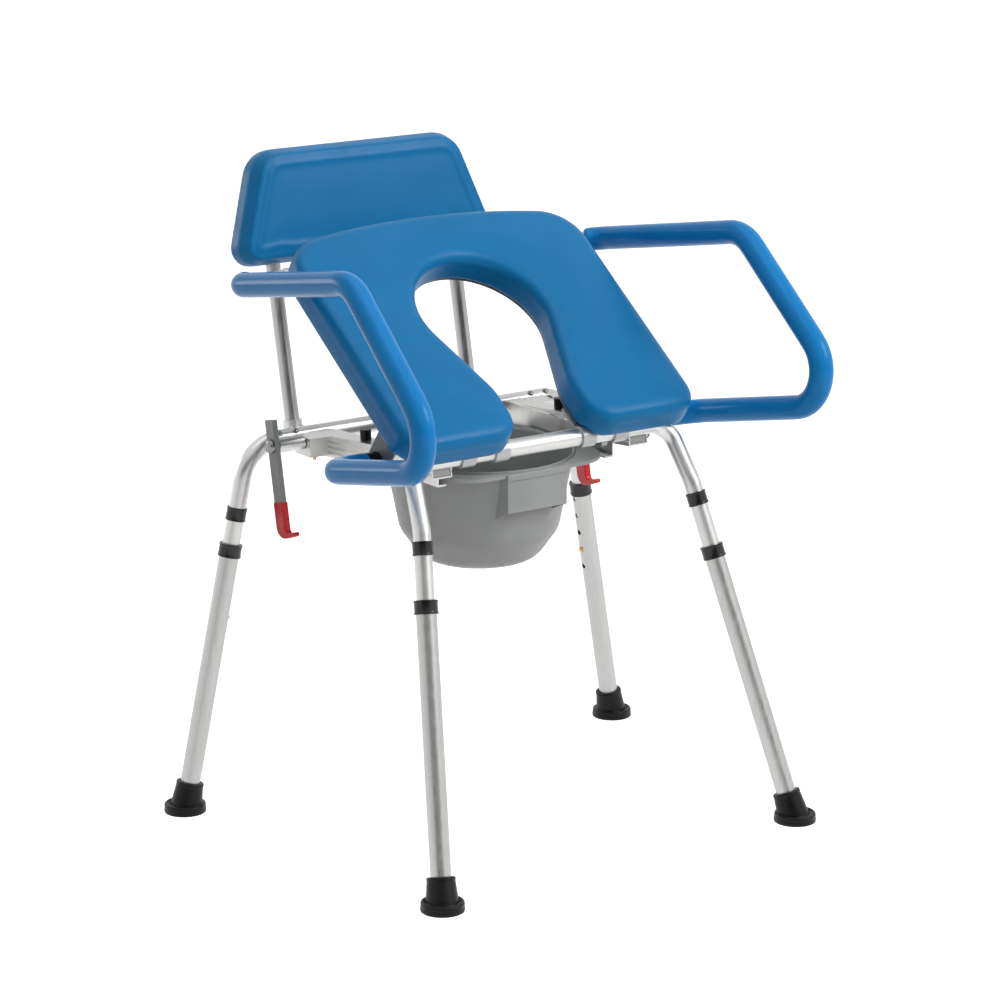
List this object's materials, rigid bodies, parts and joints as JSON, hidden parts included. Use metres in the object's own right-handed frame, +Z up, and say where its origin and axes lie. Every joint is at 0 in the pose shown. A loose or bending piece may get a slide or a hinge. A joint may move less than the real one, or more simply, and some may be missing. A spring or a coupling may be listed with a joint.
{
  "type": "lift-assist shower commode chair",
  "caption": "Shower and commode chair with a sprung seat and padded arms that tip up together, a backrest, telescopic legs on rubber feet and a pail that slides out of the front.",
  "frame": {"origin": "on the floor, under the middle of the overall box", "axes": "+Z up, -Y towards the front of the chair, +X to the right as seen from the front"},
  "size_m": [0.74, 0.6464, 0.8215],
  "materials": {
    "pad": "soft moulded foam, satin skin",
    "arm_foam": "soft foam, matt",
    "pail": "satin",
    "lever": "satin grey",
    "lever_tip": "dipped, glossy",
    "brass": "polished",
    "bright_steel": "polished",
    "rubber": "matt",
    "black_plastic": "satin",
    "dark_steel": "satin black",
    "aluminium": "satin anodised"
  },
  "bodies": {
    "frame": {"front_frame_tube": "aluminium", "rear_frame_tube": "aluminium", "back_pad": "pad", "front_left_ring": "black_plastic", "rear_left_ring": "black_plastic", "left_side_rail": "aluminium", "left_bumper": "rubber", "left_pail_rail": "aluminium", "left_gas_stud": "bright_steel", "left_lever_bolt": "bright_steel", "left_back_post": "aluminium", "left_post_bracket": "dark_steel", "front_right_ring": "black_plastic", "rear_right_ring": "black_plastic", "right_side_rail": "aluminium", "right_bumper": "rubber", "right_pail_rail": "aluminium", "right_gas_stud": "bright_steel", "right_lever_bolt": "bright_steel", "right_back_post": "aluminium", "right_post_bracket": "dark_steel"},
    "seat": {"seat_pad": "pad", "seat_base": "dark_steel", "hinge_bushes": "black_plastic", "arm_cross_tube": "aluminium", "left_arm_tube": "aluminium", "left_arm_grip": "arm_foam", "left_arm_plug": "black_plastic", "right_arm_tube": "aluminium", "right_arm_grip": "arm_foam", "right_arm_plug": "black_plastic"},
    "left gas cylinder": {"left_gas_cylinder": "dark_steel"},
    "left gas rod": {"left_gas_rod": "bright_steel"},
    "left lever": {"left_lever": "lever", "left_lever_tip": "lever_tip"},
    "front left leg": {"front_left_leg": "aluminium", "front_left_collar": "black_plastic", "front_left_foot": "rubber"},
    "front left button": {"front_left_button": "brass"},
    "rear left leg": {"rear_left_leg": "aluminium", "rear_left_collar": "black_plastic", "rear_left_foot": "rubber"},
    "rear left button": {"rear_left_button": "brass"},
    "right gas cylinder": {"right_gas_cylinder": "dark_steel"},
    "right gas rod": {"right_gas_rod": "bright_steel"},
    "right lever": {"right_lever": "lever", "right_lever_tip": "lever_tip"},
    "front right leg": {"front_right_leg": "aluminium", "front_right_collar": "black_plastic", "front_right_foot": "rubber"},
    "front right button": {"front_right_button": "brass"},
    "rear right leg": {"rear_right_leg": "aluminium", "rear_right_collar": "black_plastic", "rear_right_foot": "rubber"},
    "rear right button": {"rear_right_button": "brass"},
    "pail": {"pail": "pail"}
  },
  "joints": [
    {"name": "seat_lift", "type": "hinge", "parent": "frame", "child": "seat", "pos_m": [0, -0.1185, 0.4975], "axis": [1, 0, 0], "range_deg": [-36, 0], "stiffness_Nm_per_rad": 20, "springref_deg": 80.21},
    {"name": "left_gas_pivot", "type": "hinge", "parent": "frame", "child": "left gas cylinder", "pos_m": [-0.123, -0.0775, 0.4745], "axis": [1, 0, 0], "range_deg": [-41, 0.5]},
    {"name": "left_gas_stroke", "type": "slide", "parent": "left gas cylinder", "child": "left gas rod", "axis": [0, 0.6716, 0.7409], "range_m": [-0.0255, 0.0005]},
    {"name": "left_lever_turn", "type": "hinge", "parent": "frame", "child": "left lever", "pos_m": [-0.2355, 0.1285, 0.478], "axis": [1, 0, 0], "range_deg": [-20, 25], "stiffness_Nm_per_rad": 0.6},
    {"name": "right_gas_pivot", "type": "hinge", "parent": "frame", "child": "right gas cylinder", "pos_m": [0.123, -0.0775, 0.4745], "axis": [1, 0, 0], "range_deg": [-41, 0.5]},
    {"name": "right_gas_stroke", "type": "slide", "parent": "right gas cylinder", "child": "right gas rod", "axis": [0, 0.6716, 0.7409], "range_m": [-0.0255, 0.0005]},
    {"name": "right_lever_turn", "type": "hinge", "parent": "frame", "child": "right lever", "pos_m": [0.2355, 0.1285, 0.478], "axis": [1, 0, 0], "range_deg": [-20, 25], "stiffness_Nm_per_rad": 0.6},
    {"name": "front_left_leg_slide", "type": "slide", "parent": "frame", "child": "front left leg", "axis": [0.1453, 0.3026, 0.942], "range_m": [-0.075, 0]},
    {"name": "front_left_button_press", "type": "slide", "parent": "front left leg", "child": "front left button", "axis": [0.0461, -0.9531, 0.2991], "range_m": [0, 0.003], "stiffness_N_per_m": 900, "springref_m": -0.002},
    {"name": "front_right_leg_slide", "type": "slide", "parent": "frame", "child": "front right leg", "axis": [-0.1453, 0.3026, 0.942], "range_m": [-0.075, 0]},
    {"name": "front_right_button_press", "type": "slide", "parent": "front right leg", "child": "front right button", "axis": [-0.0461, -0.9531, 0.2991], "range_m": [0, 0.003], "stiffness_N_per_m": 900, "springref_m": -0.002},
    {"name": "rear_left_leg_slide", "type": "slide", "parent": "frame", "child": "rear left leg", "axis": [0.1916, -0.0391, 0.9807], "range_m": [-0.075, 0]},
    {"name": "rear_left_button_press", "type": "slide", "parent": "rear left leg", "child": "rear left button", "axis": [-0.9815, -0.0076, 0.1915], "range_m": [0, 0.003], "stiffness_N_per_m": 900, "springref_m": -0.002},
    {"name": "rear_right_leg_slide", "type": "slide", "parent": "frame", "child": "rear right leg", "axis": [-0.1916, -0.0391, 0.9807], "range_m": [-0.075, 0]},
    {"name": "rear_right_button_press", "type": "slide", "parent": "rear right leg", "child": "rear right button", "axis": [0.9815, -0.0076, 0.1915], "range_m": [0, 0.003], "stiffness_N_per_m": 900, "springref_m": -0.002},
    {"name": "pail_slide", "type": "slide", "parent": "frame", "child": "pail", "axis": [0, -1, 0], "range_m": [0, 0.3]}
  ],
  "couplings": [
    {"joint": "left_gas_pivot", "follows": "seat_lift", "ratio": 1.1325},
    {"joint": "left_gas_stroke", "follows": "seat_lift", "m_per_rad": 0.0402},
    {"joint": "right_gas_pivot", "follows": "seat_lift", "ratio": 1.1325},
    {"joint": "right_gas_stroke", "follows": "seat_lift", "m_per_rad": 0.0402}
  ]
}
